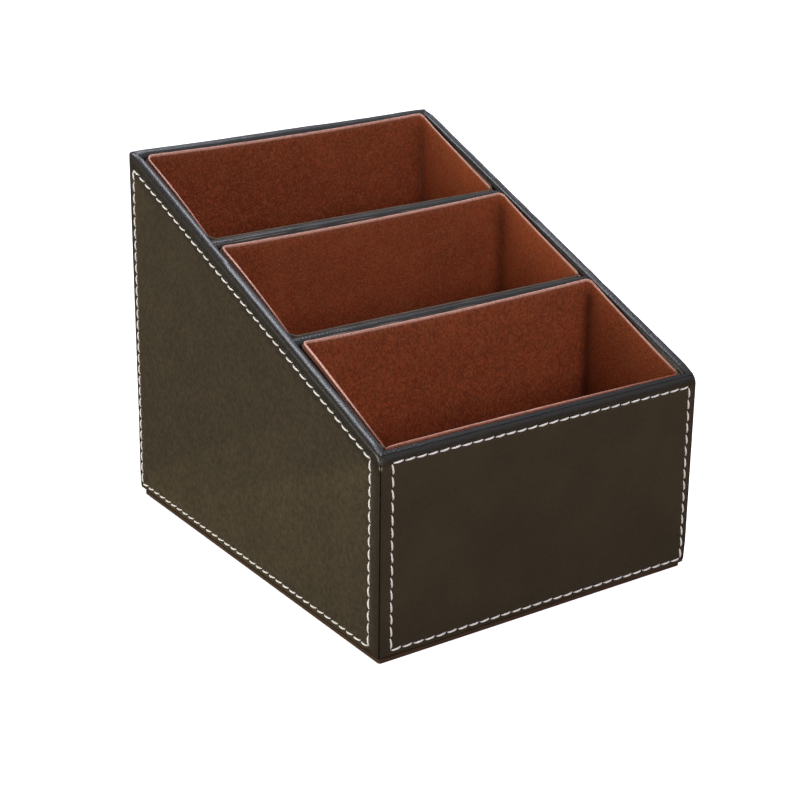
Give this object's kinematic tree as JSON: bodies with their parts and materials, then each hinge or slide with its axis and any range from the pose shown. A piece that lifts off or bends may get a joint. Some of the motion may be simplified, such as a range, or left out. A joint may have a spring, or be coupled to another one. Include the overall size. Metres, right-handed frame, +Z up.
{
  "type": "desk storage box",
  "caption": "Leather-covered desk organiser with a sloping top and open suede-lined compartments in a row, for pens, phones, remotes and cards.",
  "frame": {"origin": "centre of the footprint, on the surface the box stands on", "axes": "+Z up, +Y from the low front to the high back, +X to the right as seen from the front"},
  "size_m": [0.1302, 0.1612, 0.1318],
  "materials": {
    "leather": "dark brown faux leather with a fine pebble grain, soft sheen",
    "suede": "reddish brown flocked suede, matte with a light nap",
    "thread": "off-white polyester sewing thread",
    "base_cloth": "brown flannel sheet, matte",
    "board": "raw thin fibreboard, hidden under the leather",
    "card": "plain grey-brown lining card, hidden behind the suede"
  },
  "bodies": {
    "root": {"back_board": "board", "back_cover": "leather", "back_stitching": "thread", "base_board": "board", "base_sheet": "base_cloth", "front_board": "board", "front_cover": "leather", "front_divider_board": "board", "front_divider_cap": "leather", "front_floor_card": "card", "front_floor_suede": "suede", "front_lining_card": "card", "front_lining_suede": "suede", "front_stitching": "thread", "left_side_board": "board", "left_side_cover": "leather", "left_side_stitching": "thread", "middle_floor_card": "card", "middle_floor_suede": "suede", "middle_lining_card": "card", "middle_lining_suede": "suede", "rear_divider_board": "board", "rear_divider_cap": "leather", "rear_floor_card": "card", "rear_floor_suede": "suede", "rear_lining_card": "card", "rear_lining_suede": "suede", "right_side_board": "board", "right_side_cover": "leather", "right_side_stitching": "thread"}
  },
  "joints": []
}
